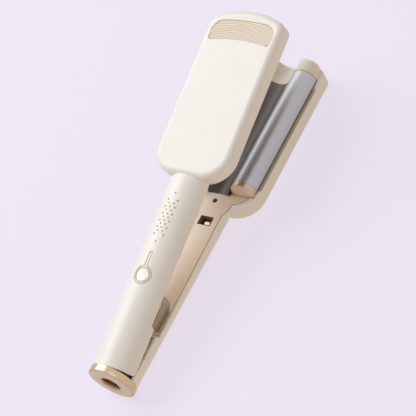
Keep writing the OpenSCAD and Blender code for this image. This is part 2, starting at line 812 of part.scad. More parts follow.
// outline of the bezel's tongue
module tongue(gap) {
    translate([0, tongue_end - tongue_w / 2]) circle(tongue_w / 2 + gap);
    translate([-tongue_w / 2 - gap, button_y + bezel_r - 1])
        square([tongue_w + 2 * gap, tongue_end - tongue_w / 2 - button_y - bezel_r + 1]);
}

module upper_cover() opened() color("burlywood") {
    difference() {
        union() {
            intersection() {
                along(hinge_y + 20, paddle_y + 4) circle(inner_r, $fn = 96);
                translate([-far, 0, ceiling_z]) cube([2 * far, arm_len, cover_t]);
            }
            translate([0, 0, ceiling_z]) linear_extrude(cover_t) cover_outline(cover_inset);
        }
        translate([0, 0, barrel_lift]) dome_shape(run_gap);
        for (y = upper_screws_at) translate([0, y, 0]) {
            cylinder(r = screw_r + seam, h = far);
            cylinder(r = screw_head_r + seam, h = ceiling_z + head_h + seam);
        }
    }
}

module upper_barrel() opened() color("silver")
    translate([0, 0, barrel_lift]) along(barrel_y, barrel_end) barrel_section(1);

module upper_side_plates() opened() color("dimgray") both_sides()
    along(barrel_y + seam, barrel_end) difference() {
        translate([barrel_x, -barrel_sink]) plate_section(50, 158);
        translate([0, barrel_lift]) circle(barrel_r + run_gap);
    }

module upper_band() opened() color("khaki") translate([0, 0, barrel_lift]) band(1);

module upper_end_cap() opened() color("peachpuff") translate([0, 0, barrel_lift]) dome(1);

module upper_heater() opened() color("firebrick") translate([0, 0, barrel_lift]) heater_bar(-1);

module upper_carrier() opened() color("wheat") translate([0, 0, barrel_lift])
    mirror([0, 0, 1]) carrier_bar(1);

module upper_chassis() opened() color("saddlebrown") {
    base = barrel_lift + barrel_back + seam;
    plate_top = -barrel_sink + trough_r + plate_t + seam;
    top = face_z - wall - seam;
    width = 2 * (half_w - chassis_inset - edge_r + wall);
    translate([-width / 2, barrel_y + 1, base]) cube([width, barrel_end - barrel_y - 3, 1.4]);
    both_sides() translate([barrel_x - 4, barrel_y + 1, plate_top])
        cube([8, barrel_end - barrel_y - 3, base - plate_top + 0.5]);
    for (y = [barrel_y + 4, (barrel_y + barrel_end) / 2, barrel_end - 22])
        translate([-width / 2 + 2, y, base]) cube([width - 4, 3, top - base]);
}

module upper_nose() opened() color("floralwhite") {
    low = barrel_lift - barrel_r;
    intersection() {
        paddle(upper_tip, 0.3, arch_top, low, nose_round);
        along(nose_y, arm_len) difference() {
            union() {
                translate([0, barrel_lift]) circle(barrel_r);
                translate([-half_w, upper_rim_z - seam]) square([2 * half_w, far]);
                translate([-barrel_x, barrel_lift - waist_z]) square([2 * barrel_x, far]);
            }
            facing_barrels(0);
        }
        // seat in the shell
        union() {
            paddle(upper_tip, wall + seam, arch_top + 1, low, 0.5);
            translate([-far, 0, upper_rim_z - seam - far]) cube([2 * far, 2 * arm_len, far]);
        }
    }
}

// sections of the troughs that the lower barrels fill
module facing_barrels(gap) {
    for (s = [-1, 1]) translate([s * barrel_x, -barrel_sink]) circle(trough_r - gap, $fn = 96);
}

module upper_screws() opened() color("gray") for (y = upper_screws_at)
    translate([0, y, ceiling_z + head_h + seam / 2]) mirror([0, 0, 1]) screw(short_screw);

module grille() opened() color("tan") {
    translate([0, 0, pocket_z + seam / 2]) linear_extrude(0.4) grille_outline(seam);
    intersection() {
        translate([0, 0, pocket_z + 0.3]) linear_extrude(grille_depth - 0.5) grille_outline(0.6);
        for (k = [0:slat_count + 4]) translate([0, grille_low + (k + 0.5) * slat_pitch - slat_arc_r, 0])
            difference() {
                cylinder(r = slat_arc_r + slat_w / 2, h = far, $fn = 200);
                cylinder(r = slat_arc_r - slat_w / 2, h = far, $fn = 200);
            }
    }
}

module button_bezel() opened() color("antiquewhite") intersection() {
    along(0, arm_len) circle(handle_r - seam, $fn = 96);
    difference() {
        union() {
            translate([0, button_y, board_z + board_t + seam]) cylinder(r = bezel_r, h = far);
            translate([0, 0, tongue_z]) linear_extrude(far) tongue(0);
        }
        translate([0, button_y, 0]) cylinder(r = button_r + run_gap, h = far);
    }
}

module power_button() opened() color("white") intersection() {
    along(0, arm_len) circle(handle_r - 0.2, $fn = 96);
    translate([0, button_y, button_z]) cylinder(r = button_r, h = far);
}

module button_board() opened() color("seagreen") translate([0, button_y, board_z]) {
    translate([-switch_board_w / 2, -switch_board_len / 2, 0])
        cube([switch_board_w, switch_board_len, board_t]);
    translate([-switch_w / 2, -switch_w / 2, board_t - 0.1]) cube([switch_w, switch_w, switch_h + 0.1]);
}

// strip behind the vent holes
module vent_backing() opened() color("sienna")
    along(vent_y - 8.5 * vent_pitch, vent_y + 8.5 * vent_pitch) difference() {
        intersection() {
            circle(inner_r, $fn = 96);
            translate([-vent_reach - 2, 0]) square([2 * vent_reach + 4, far]);
        }
        circle(inner_r - 0.6, $fn = 96);
    }

module hinge_yoke() opened() color("dimgray") difference() {
    intersection() {
        along(hinge_y - ear_r, hinge_y + yoke_len) circle(inner_r, $fn = 96);
        union() {
            both_sides() across(yoke_in, yoke_out) union() {
                translate([hinge_y, hinge_z]) circle(ear_r);
                polygon([[hinge_y - 2, hinge_z], [hinge_y + ear_r, hinge_z],
                    [hinge_y + 12, yoke_top], [hinge_y + 12, far], [hinge_y - 2, far]]);
            }
            translate([-yoke_out, hinge_y - 2, yoke_top]) cube([2 * yoke_out, yoke_len + 2, far]);
        }
    }
    translate([-far, hinge_y, hinge_z]) rotate([0, 90, 0]) cylinder(r = bush_r + seam / 4, h = 2 * far);
}

module pivot_bushes() opened() color("darkgoldenrod") both_sides()
    translate([yoke_in, hinge_y, hinge_z]) rotate([0, 90, 0]) difference() {
        cylinder(r = bush_r, h = block_in - yoke_in - run_gap);
        translate([0, 0, -1]) cylinder(r = pin_r + pin_clear, h = far);
    }

lower_shell();
lower_cover();
lower_barrel_left();
lower_barrel_right();
lower_trough();
lower_bands();
lower_end_caps();
lower_heaters();
lower_carriers();
lower_chassis();
guard_strips();
lower_nose();
lower_screws();
screw_plug();
catch_clip();
circuit_board();
hinge_block();
pivot_pins();
hinge_springs();
guard_fins();
tail_ring();
tail_plug();
end_cap();
inlet_socket();
upper_shell();
upper_cover();
upper_barrel();
upper_side_plates();
upper_band();
upper_end_cap();
upper_heater();
upper_carrier();
upper_chassis();
upper_nose();
upper_screws();
grille();
button_bezel();
button_board();
vent_backing();
hinge_yoke();
pivot_bushes();
power_button();
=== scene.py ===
import bmesh
import bpy
import numpy as np
from mathutils import Matrix


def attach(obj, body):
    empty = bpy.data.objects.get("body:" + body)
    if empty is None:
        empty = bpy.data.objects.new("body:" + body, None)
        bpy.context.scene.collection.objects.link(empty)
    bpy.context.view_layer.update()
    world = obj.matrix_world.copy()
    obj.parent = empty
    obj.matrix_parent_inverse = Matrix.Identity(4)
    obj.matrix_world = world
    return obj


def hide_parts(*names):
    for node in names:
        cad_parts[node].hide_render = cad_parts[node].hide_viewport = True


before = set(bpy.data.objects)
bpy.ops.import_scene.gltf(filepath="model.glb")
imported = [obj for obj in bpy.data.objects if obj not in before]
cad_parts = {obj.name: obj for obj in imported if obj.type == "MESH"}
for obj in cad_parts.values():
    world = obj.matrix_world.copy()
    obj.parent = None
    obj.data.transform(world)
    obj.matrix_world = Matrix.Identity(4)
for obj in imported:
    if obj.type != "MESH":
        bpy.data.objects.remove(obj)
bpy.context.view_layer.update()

# ---- Camera ----
# The photograph is taken from above the tool's right side, rolled so that the nose points
# up and to the right. Rows of camera_axes are the camera's right, up and backward.
camera_axes = np.array([(0.81054, 0.44300, -0.38311), (-0.17061, 0.80435, 0.56914),
                        (0.56028, -0.39595, 0.72754)])
camera_aim = np.array((0.0, 0.004, 0.0205))
camera_distance = 1.4
camera_data = bpy.data.cameras.new("camera")
camera_data.lens = 145.816
camera_data.sensor_width = 36.0
camera_data.shift_x = 0.00377
camera_data.shift_y = 0.0061
camera = bpy.data.objects.new("camera", camera_data)
turned = Matrix(camera_axes.T.tolist()).to_4x4()
turned.translation = camera_aim + camera_distance * camera_axes[2]
camera.matrix_world = turned
bpy.context.scene.collection.objects.link(camera)
bpy.context.scene.camera = camera
bpy.context.scene.view_settings.view_transform = "Standard"

# ---- Table and light ----
# A plain lavender table that runs to the horizon under a wide soft lamp from the left, with
# a dim room all round. The light that both throw on the tool's sides is warmer than they
# look to the camera or in a reflection, as cream card beside the tool would make it.


class Value:
    """One socket of a finish. Sums, products and powers of values add Math nodes."""

    def __init__(self, finish, socket):
        self.finish, self.socket = finish, socket

    def math(self, operation, first, second):
        return self.finish.node("ShaderNodeMath", {"operation": operation}, {0: first, 1: second})

    def __add__(self, other):
        return self.math("ADD", self, other)

    def __radd__(self, other):
        return self.math("ADD", other, self)

    def __sub__(self, other):
        return self.math("SUBTRACT", self, other)

    def __rsub__(self, other):
        return self.math("SUBTRACT", other, self)

    def __mul__(self, other):
        return self.math("MULTIPLY", self, other)

    def __rmul__(self, other):
        return self.math("MULTIPLY", other, self)

    def __pow__(self, other):
        return self.math("POWER", self, other)


class Finish:
    """A material or world whose nodes are added one after another with node()."""

    def __init__(self, owner):
        owner.use_nodes = True
        self.owner, self.tree = owner, owner.node_tree
        self.tree.nodes.clear()

    def node(self, kind, settings=None, sockets=None, output=0):
        """Adds a node: its settings first, then a value or link for each named socket."""
        made = self.tree.nodes.new(kind)
        for name, setting in (settings or {}).items():
            if name == "stops":
                ramp = made.color_ramp
                while len(ramp.elements) < len(setting):
                    ramp.elements.new(0.5)
                for element, (place, colour) in zip(ramp.elements, setting):
                    element.position, element.color = place, (*colour, 1.0)
            else:
                setattr(made, name, setting)
        for name, value in (sockets or {}).items():
            if isinstance(value, Value):
                self.tree.links.new(value.socket, made.inputs[name])
            elif isinstance(value, tuple) and len(value) == 3 and made.inputs[name].type == "RGBA":
                made.inputs[name].default_value = (*value, 1.0)
            else:
                made.inputs[name].default_value = value
        return Value(self, made.outputs[output]) if made.outputs else None

    def seen(self):
        """1 for a ray from the camera, off a glossy surface or through a clear one."""
        return (self.node("ShaderNodeLightPath", output=0)
                + self.node("ShaderNodeLightPath", output=3)
                + self.node("ShaderNodeLightPath", output=6))

    def colour_mix(self, factor, first, second):
        """Blends two colours by factor."""
        return self.node("ShaderNodeMix", {"data_type": "RGBA"},
                         {0: factor, 6: first, 7: second}, output=2)


lavender = (0.877, 0.822, 0.947)
card_warm = (0.90, 0.75, 0.60)
room_warm = (0.35, 0.29, 0.23)

table_half = 6.0
table_mesh = bpy.data.meshes.new("table_top")
table_mesh.from_pydata([(x * table_half, y * table_half, 0.0) for x, y in
                        ((-1, -1), (1, -1), (1, 1), (-1, 1))], [], [(0, 1, 2, 3)])
table_top = bpy.data.objects.new("table_top", table_mesh)
bpy.context.scene.collection.objects.link(table_top)
paper = Finish(bpy.data.materials.new("lavender_paper"))
seen = paper.seen()
tone = paper.colour_mix(seen, card_warm, lavender)
glow_thrown, glow_seen = 0.5, 0.75          # the paper's share of even light, by kind of ray
paper_both = paper.node("ShaderNodeMixShader", None, {
    0: seen * (glow_seen - glow_thrown) + glow_thrown,
    1: paper.node("ShaderNodeBsdfDiffuse", None, {"Color": tone}),
    2: paper.node("ShaderNodeEmission", None, {"Color": tone, "Strength": 1.0})})
paper.node("ShaderNodeOutputMaterial", None, {"Surface": paper_both})
table_mesh.materials.append(paper.owner)

room = Finish(bpy.context.scene.world or bpy.data.worlds.new("room"))
bpy.context.scene.world = room.owner
room.node("ShaderNodeOutputWorld", None, {"Surface": room.node("ShaderNodeBackground", None, {
    "Color": room.colour_mix(room.seen(), room_warm, lavender), "Strength": 1.0})})


def lamp(name, place, aim, size, watts, colour):
    """A square soft lamp of the given size in metres, at place and turned to aim."""
    data = bpy.data.lights.new(name, "AREA")
    data.shape, data.size, data.energy, data.color = "SQUARE", size, watts, colour
    made = bpy.data.objects.new(name, data)
    back = np.array(place) - np.array(aim)
    back = back / np.linalg.norm(back)
    right = np.cross((0.0, 1.0, 0.0), back)
    right = right / np.linalg.norm(right)
    turned = Matrix(np.array([right, np.cross(back, right), back]).T.tolist()).to_4x4()
    turned.translation = place
    made.matrix_world = turned
    bpy.context.scene.collection.objects.link(made)


tool_middle, day_cool = (0.0, 0.0, 0.0), (0.88, 0.95, 1.0)
lamp("window_lamp", (-1.6, 0.2, 1.65), tool_middle, 1.8, 39.0, day_cool)
lamp("ceiling_lamp", (0.75, -0.5, 2.0), tool_middle, 1.5, 9.0, day_cool)

# ---- Lower case ----
# The lower half of the case, moulded in glossy cream ABS with a flat back that it lies on.
# The cap over the nose is a second moulding in the same plastic, snapped into the rim; its
# cream is made darker and more golden as painted shade on its saddle.
cream = (0.905, 0.872, 0.822)


def plastic(name, colour, roughness, coat, mottle=0.03, grain=0.02, grain_scale=900.0):
    """Moulded plastic: slow colour mottle, faint flow marks in its gloss, and a fine skin."""
    made = Finish(bpy.data.materials.new(name))
    place = made.node("ShaderNodeTexCoord", output=3)
    cloud = made.node("ShaderNodeTexNoise", None, {"Vector": place, "Scale": 14.0, "Detail": 3.0})
    skin = made.node("ShaderNodeTexNoise", None, {"Vector": place, "Scale": grain_scale,
                                                  "Detail": 2.0})
    flow = made.node("ShaderNodeTexNoise", None, {"Vector": place, "Scale": 60.0, "Detail": 4.0})
    darker = tuple(c * (1 - mottle) for c in colour)
    lighter = tuple(min(c * (1 + mottle / 2), 1.0) for c in colour)
    bump = made.node("ShaderNodeBump", None, {"Strength": grain, "Distance": 0.0004,
                                              "Height": skin})
    body = made.node("ShaderNodeBsdfPrincipled", None, {
        "Base Color": made.colour_mix(cloud, darker, lighter), "IOR": 1.5,
        "Roughness": roughness + (flow - 0.5) * 0.06, "Coat Weight": coat,
        "Coat Roughness": 0.3, "Normal": bump})
    made.node("ShaderNodeOutputMaterial", None, {"Surface": body})
    return made.owner


def settle(piece, body, slot, *nodes):
    """Puts a finished piece on its body and hides the nodes it stands for. Its slot is not used.
    """
    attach(piece, body)
    if nodes:
        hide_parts(*nodes)
    return piece


def eased(node, name, finish, body, slot, edge=0.3, smooth=32.0):
    """A copy of a node's mesh, welded, smooth over its shallow creases, its sharp edges eased."""
    mesh = bpy.data.meshes.new(name)
    work = bmesh.new()
    work.from_mesh(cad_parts[node].data)
    bmesh.ops.remove_doubles(work, verts=work.verts, dist=2e-6)
    bmesh.ops.dissolve_degenerate(work, edges=work.edges, dist=1e-6)
    bmesh.ops.dissolve_limit(work, angle_limit=np.radians(0.3), verts=work.verts,
                             edges=work.edges)
    work.to_mesh(mesh)
    work.free()
    mesh.shade_smooth()
    mesh.set_sharp_from_angle(angle=np.radians(smooth))
    mesh.materials.append(finish)
    piece = bpy.data.objects.new(name, mesh)
    bpy.context.scene.collection.objects.link(piece)
    if edge:
        bevel = piece.modifiers.new("eased_edges", "BEVEL")
        bevel.width, bevel.segments, bevel.limit_method = edge / 1000, 2, "ANGLE"
        bevel.angle_limit = np.radians(smooth + 8.0)
        bevel.use_clamp_overlap = True
    weighted = piece.modifiers.new("even_shading", "WEIGHTED_NORMAL")
    weighted.keep_sharp = True
    return settle(piece, body, slot, node)


cream_gloss = plastic("cream_gloss", cream, 0.42, 0.2)
eased("lower_shell", "lower_case", cream_gloss, "lower_arm", "cream_shell")
# The lower nose cap's darker, more golden cream is painted shade.
shaded_nose_cream = plastic("shaded_nose_cream", (0.88, 0.81, 0.70), 0.34, 0.3)
eased("lower_nose", "lower_nose_cap", shaded_nose_cream, "lower_arm", "cream_shell", edge=0.25)

# ---- Lower handle's inner face ----
# A thin crowned cover in satin cream plastic, screwed to bosses in the case; its tan tone is
# partly its own warmer colour and partly painted shade from the upper arm. It leaves a
# window for the sprung catch, and an oval plug closes its moulding hole.
# The darkened tan of this cover material is partly painted shade.
shaded_cover_satin = plastic("shaded_cover_satin", (0.83, 0.70, 0.56), 0.42, 0.15)
eased("lower_cover", "lower_inner_cover", shaded_cover_satin, "lower_arm", "inner_cream", edge=0.25)
eased("screw_plug", "oval_plug", shaded_cover_satin, "lower_arm", "inner_cream", edge=0.3)


def metal(name, colour, roughness, streak=(1.0, 1.0, 1.0), streaks=0.06, bump=0.05, tint=0.06):
    """Bare metal: streaks of gloss and tone stretched along the way it was drawn or turned."""
    made = Finish(bpy.data.materials.new(name))
    place = made.node("ShaderNodeTexCoord", output=3)
    drawn = made.node("ShaderNodeMapping", None, {"Vector": place, "Scale": streak})
    lines = made.node("ShaderNodeTexNoise", None, {"Vector": drawn, "Scale": 500.0,
                                                   "Detail": 4.0})
    cloud = made.node("ShaderNodeTexNoise", None, {"Vector": place, "Scale": 30.0})
    darker = tuple(c * (1 - tint) for c in colour)
    body = made.node("ShaderNodeBsdfPrincipled", None, {
        "Base Color": made.colour_mix(lines * 0.5 + cloud * 0.5, darker, colour),
        "Metallic": 1.0, "Roughness": roughness + (lines - 0.5) * streaks,
        "Normal": made.node("ShaderNodeBump", None, {"Strength": bump, "Distance": 0.0002,
                                                     "Height": lines})})
    made.node("ShaderNodeOutputMaterial", None, {"Surface": body})
    return made.owner


steel = metal("bright_steel", (0.66, 0.65, 0.63), 0.28)
tail_middle, axis_height = 166.0, 20.5      # from the tail and the table to the frame's origin


def placed(points):
    """Points in millimetres from the tail and the ring's axis, as metres on the table."""
    return (np.asarray(points, float) + (0.0, -tail_middle, axis_height)) / 1000


def surface(name, points, finish, ends="fan", smooth=40.0):
    """A skin over points[v][u], or over each of a list of such grids, closed round u, with
    both ends of v fanned shut or joined to each other."""
    grids = points if isinstance(points, list) else [points]
    corners, faces, count = [], [], 0
    for grid in grids:
        rows, columns = grid.shape[:2]
        index = count + np.arange(rows * columns).reshape(rows, columns)
        below, above = index[:-1], index[1:]
        if ends == "join":
            below, above = index, np.roll(index, -1, 0)
        quads = np.stack([below, np.roll(below, -1, 1), np.roll(above, -1, 1), above], -1)
        faces += quads.reshape(-1, 4).tolist()
        if ends == "fan":
            faces += [index[0].tolist(), index[-1][::-1].tolist()]
        corners += grid.reshape(-1, 3).tolist()
        count += rows * columns
    mesh = bpy.data.meshes.new(name)
    mesh.from_pydata(corners, [], faces)
    work = bmesh.new()
    work.from_mesh(mesh)
    bmesh.ops.remove_doubles(work, verts=work.verts, dist=1e-7)
    bmesh.ops.recalc_face_normals(work, faces=work.faces)
    work.to_mesh(mesh)
    work.free()
    mesh.shade_smooth()
    mesh.set_sharp_from_angle(angle=np.radians(smooth))
    mesh.materials.append(finish)
    piece = bpy.data.objects.new(name, mesh)
    bpy.context.scene.collection.objects.link(piece)
    return piece


def tube(path, radius, across=(1.0, 0.02, 0.01), sides=12, closed=False):
    """A round tube along a path: each ring lies in the plane across the path's direction, on
    the two axes that the fixed vector across gives there."""
    path = np.asarray(path, float)
    run = np.roll(path, -1, 0) - np.roll(path, 1, 0) if closed else np.gradient(path, axis=0)
    run = run / np.linalg.norm(run, axis=1, keepdims=True)
    side = np.cross(run, across)
    side = side / np.linalg.norm(side, axis=1, keepdims=True)
    other = np.cross(run, side)
    turn = np.linspace(0, 2 * np.pi, sides + 1)[:-1][None, :, None]
    return path[:, None] + radius * (np.cos(turn) * side[:, None] + np.sin(turn) * other[:, None])


def softened(corners, radius, steps=4):
    """A closed outline with each corner swapped for the arc of a quadratic curve."""
    corners = np.asarray(corners, float)
    half_side = 0.49
    before, after = np.roll(corners, 1, 0) - corners, np.roll(corners, -1, 0) - corners
    reach_before = np.minimum(radius / np.linalg.norm(before, axis=1), half_side)[:, None]
    reach_after = np.minimum(radius / np.linalg.norm(after, axis=1), half_side)[:, None]
    t = np.linspace(0, 1, steps + 1)[None, :, None]
    start = (corners + before * reach_before)[:, None]
    end = (corners + after * reach_after)[:, None]
    arcs = (1 - t) ** 2 * start + 2 * t * (1 - t) * corners[:, None] + t ** 2 * end
    return arcs.reshape(-1, 2)


def screw_head(radius, height, place, side):
    """A pan head with a cross recess: height falls off at the rim as a circle's arc, and drops
    by a smooth step wherever either arm of the cross covers the point."""
    turn = np.linspace(0, 2 * np.pi, 73)[:-1]
    reach = np.concatenate([np.linspace(0.001, 0.86, 26), np.linspace(0.88, 1.0, 8)]) * radius
    r, a = np.meshgrid(reach, turn, indexing="ij")
    x, y = r * np.cos(a + 0.4), r * np.sin(a + 0.4)
    rim = np.clip((r / radius - 0.72) / 0.28, 0, 1)
    top = height * (0.55 + 0.45 * np.sqrt(1 - rim ** 2)) + 0.12 * (1 - (r / radius) ** 2)
    arm_half, arm_reach = 0.13 * radius, 0.62 * radius
    along, beside = np.maximum(abs(x), abs(y)), np.minimum(abs(x), abs(y))
    cut = (np.clip((arm_half - beside) / 0.12 + 0.5, 0, 1)
           * np.clip((arm_reach - along) / 0.15 + 0.5, 0, 1))
    top = top - 0.55 * height * cut
    upper = np.stack([x, y, top], -1)
    base = np.stack([x[-1:], y[-1:], np.zeros_like(x[-1:])], -1)
    return np.concatenate([upper, base]) * (1, 1, side) + place


screw_r = 2.15
black_steel = metal("blackened_steel", (0.085, 0.06, 0.04), 0.45)
for count, y in enumerate((66.0, 183.0)):
    head = screw_head(screw_r, 0.55, (0.0, y, -4.62), 1)
    settle(surface(f"cover_screw_{count + 1}", placed(head), black_steel, smooth=30.0),
           "lower_arm", "steel", *(("lower_screws",) if count == 0 else ()))

# A brown bead along the inner edge of the case's rim, round the cover, is painted shade in the
# groove between the rim and the cover.
groove_shade_bead = plastic("painted_groove_shade", (0.50, 0.36, 0.22), 0.7, 0.0, mottle=0.1)
bead_r, rim_inner_r, rim_z = 0.42, 18.05, -3.5
root_x, root_y, root_r = 14.0, 200.0, 18.35
root_turn = np.linspace(-0.46, -1.36, 24)
bead_y = np.linspace(root_y - 18.4, 49.0, 80)
bead_z = np.interp(bead_y, (48.3, 167.0, 178.0), (-1.0, 2.0, rim_z))
bead = np.concatenate([
    np.stack([root_x + root_r * np.cos(root_turn), root_y + root_r * np.sin(root_turn),
              np.full(24, rim_z)], -1),
    np.stack([np.sqrt(rim_inner_r ** 2 - bead_z ** 2), bead_y, bead_z], -1)])
settle(surface("groove_shade_bead", [placed(tube(bead * (side, 1, 1), bead_r, (0, 0, 1)))
                          for side in (1, -1)], groove_shade_bead), "lower_arm", "heat_plastic")

# The sprung catch is a bent strip of plated steel in a brown moulded well.
catch_metal = metal("plated_catch", (0.72, 0.60, 0.42), 0.5)
catch_path = np.array([(157.0, -5.75), (158.3, -5.7), (158.8, -5.2), (158.9, -4.5), (159.3, -4.05),
                       (160.3, -3.85), (161.6, -3.95), (162.2, -4.4), (162.4, -5.2), (162.5, -6.2),
                       (163.2, -7.2)])


def strip_of(path, x0, x1, thick):
    """A bent strip: the path in Y and Z, moved half the thickness along its normal to either
    side, and drawn from x0 to x1."""
    run = np.gradient(path, axis=0)
    normal = np.stack([-run[:, 1], run[:, 0]], -1) / np.linalg.norm(run, axis=1, keepdims=True)
    outer, inner = path + normal * thick / 2, path - normal * thick / 2
    corners = ((x0, outer), (x1, outer), (x1, inner), (x0, inner))
    return np.stack([np.column_stack([np.full(len(path), x), edge]) for x, edge in corners], 1)


well_brown = plastic("well_brown", (0.40, 0.28, 0.17), 0.5, 0.0, mottle=0.12)
window_x, window_y, window_half, window_reach = 1.3, 162.5, 6.47, 4.47
well_outline = softened([(-window_half, -window_reach), (window_half, -window_reach),
                         (window_half, window_reach), (-window_half, window_reach)], 0.9)
well = np.stack([np.column_stack([well_outline * size + (window_x, window_y),
                                  np.full(len(well_outline), z)])
                 for size, z in ((1.0, -9.1), (1.0, -3.72), (0.97, -3.72), (0.97, -9.0))])
settle(surface("catch_well", placed(well), well_brown), "lower_arm", "heat_plastic")

# A near-black sheet over the well's floor is painted shadow of its deep inside.
painted_well_shadow = plastic("well_shadow", (0.03, 0.022, 0.016), 0.8, 0.0)
well_floor = np.stack([np.column_stack([well_outline * 0.96 + (window_x, window_y),
                                        np.full(len(well_outline), z)]) for z in (-8.95, -8.7)])
settle(surface("catch_well_floor", placed(well_floor), painted_well_shadow), "lower_arm", "heat_plastic")

catch_left, catch_right, catch_thick = 1.9, 6.6, 0.45
settle(surface("sprung_catch", placed(strip_of(catch_path, catch_left, catch_right, catch_thick)),
               catch_metal), "lower_arm", "steel", "catch_clip")

# The main board lies under the cover on bosses, green with its parts soldered on.
board_green = plastic("board_lacquer", (0.05, 0.20, 0.10), 0.45, 0.4, mottle=0.25, grain=0.06)
eased("circuit_board", "main_board", board_green, "lower_arm", "board_green", edge=0.0)

# ---- Tail ring, end cap and inlet ----
# The two handle halves end in a turned ring of champagne-plated metal. A peach plastic cap
# closes it, with a groove round a moulded socket for the cord's gland.
champagne = metal("champagne_plate", (0.66, 0.51, 0.30), 0.2, streak=(1.0, 0.02, 1.0),
                  streaks=0.04, bump=0.02)
turns = np.linspace(0, 2 * np.pi, 161)[:-1]


def turned_piece(profile):
    """Radius and Y of a profile carried round the ring's axis: x = r cos a, z = r sin a."""
    profile = np.asarray(profile, float)
    a, r = np.meshgrid(turns, profile[:, 0], indexing="ij")
    y = np.broadcast_to(profile[:, 1], r.shape)
    return np.stack([r * np.cos(a), y, r * np.sin(a)], -1)


ring_profile = softened([(19.3, 0.35), (20.1, 0.0), (20.5, 0.4), (20.5, 5.3), (20.2, 5.6),
                         (19.3, 5.6)], 0.3)
settle(surface("tail_band", placed(turned_piece(ring_profile)), champagne, ends="join"),
       "lower_arm", "champagne_ring", "tail_ring")

peach = plastic("peach_satin", (0.83, 0.69, 0.59), 0.42, 0.15)
cap_profile = softened([(9.0, 3.2), (9.0, -0.75), (9.35, -1.0), (11.55, -0.95), (11.7, -0.6),
                        (11.95, -0.6), (12.1, -0.95), (16.4, -0.85), (18.2, -0.5), (19.0, 0.1),
                        (19.2, 0.9), (19.2, 3.2)], 0.22)
settle(surface("tail_cap", placed(turned_piece(cap_profile)), peach, ends="join"),
       "lower_arm", "peach_plastic", "end_cap")
eased("tail_plug", "tail_collar", peach, "lower_arm", "peach_plastic", edge=0.0)

copper = metal("copper_brown", (0.36, 0.19, 0.08), 0.34, streak=(1.0, 0.05, 1.0))
thread_pitch, thread_depth, thread_lead = 1.55, 0.42, 0.8
bore_r, bore_start, bore_end = 7.95, 0.6, 5.6
a, y = np.meshgrid(turns, np.linspace(bore_start, bore_end, 61), indexing="ij")
thread = 0.5 + 0.5 * np.cos(2 * np.pi * y / thread_pitch - a)
crest = np.clip(thread * 2.2 - 0.9, 0, 1) * np.clip((y - bore_start) / thread_lead, 0, 1)
bore = bore_r - thread_depth * crest
bore_wall = np.stack([bore * np.cos(a), y, bore * np.sin(a)], -1)
socket_back = turned_piece([(4.3, 5.7), (4.3, 24.0), (5.5, 24.0), (5.5, 6.5), (8.85, 6.5),
                            (8.85, 0.75), (8.7, 0.6)])
settle(surface("inlet_thread", placed(np.concatenate([bore_wall, socket_back], 1)), copper,
               ends="join", smooth=50.0), "lower_arm", "copper_plastic", "inlet_socket")

# ---- Hinge ----
# Steel pins in brass bushes join a dark nylon block on the lower arm to a yoke under the
# upper one. Two wound springs hold the arms open, and khaki fins close the gap behind them.
nylon = plastic("dark_nylon", (0.035, 0.03, 0.028), 0.5, 0.0, mottle=0.15, grain=0.08)
brass = metal("brass", (0.72, 0.54, 0.28), 0.25)
eased("hinge_block", "hinge_base", nylon, "lower_arm", "dark_plastic", edge=0.2)
eased("hinge_yoke", "hinge_fork", nylon, "upper_arm", "dark_plastic", edge=0.2)
eased("pivot_pins", "hinge_pins", steel, "lower_arm", "steel", edge=0.15)
eased("pivot_bushes", "hinge_bushes", brass, "upper_arm", "brass", edge=0.1)

hinge_y, hinge_z, open_angle = 12.0, 1.0, np.radians(10.6)
wire_r, coil_r, coil_pitch, coil_x, coil_turns = 0.45, 3.88, 1.4, 10.25, 2.5
loop_middle, loop_r = np.array((15.55, 44.5, 0.6)), 0.85
t = np.linspace(0, coil_turns, 100)
coil = np.stack([coil_x + t * coil_pitch, hinge_y - coil_r * np.sin(2 * np.pi * t),
                 hinge_z + coil_r * np.cos(2 * np.pi * t)], -1)
leg = np.linspace(8, 0.4, 12)[:, None]
upper_leg = coil[0] + leg * (0, 1, np.tan(open_angle))
lower_leg = coil[-1] + leg[::-1][:8] * 1.5 * (0, 1, 0)
hook_turn = np.linspace(0, np.pi, 9)[:, None]
hook = np.concatenate([
    [(14.6, 26.0, -1.9), (15.5, 31.0, -0.6), (16.2, 36.0, 0.3), (16.4, 41.0, 0.6)],
    loop_middle + loop_r * np.concatenate([np.cos(hook_turn), np.sin(hook_turn),
                                           0 * hook_turn], 1),
    [(14.7, 40.0, 0.6), (14.7, 36.0, 0.4)]])
spring_path = np.concatenate([upper_leg, coil, lower_leg, hook])
for count, side in enumerate((1, -1)):
    wire = tube(spring_path, wire_r) * (side, 1, 1)
    spring = surface(f"opening_spring_{count + 1}", placed(wire), steel)
    settle(spring, "lower_arm", "steel", *(("hinge_springs",) if count == 0 else ()))

khaki = plastic("khaki_satin", (0.52, 0.45, 0.325), 0.42, 0.15)
eased("guard_fins", "hinge_fins", khaki, "lower_arm", "khaki_trim", edge=0.35)

# ---- Lower barrels ----
# Two extruded aluminium barrels with a grey ceramic coat. Each ends towards the handle in a
# champagne band and a peach cap, and holds a heater pressed up by its carrier.


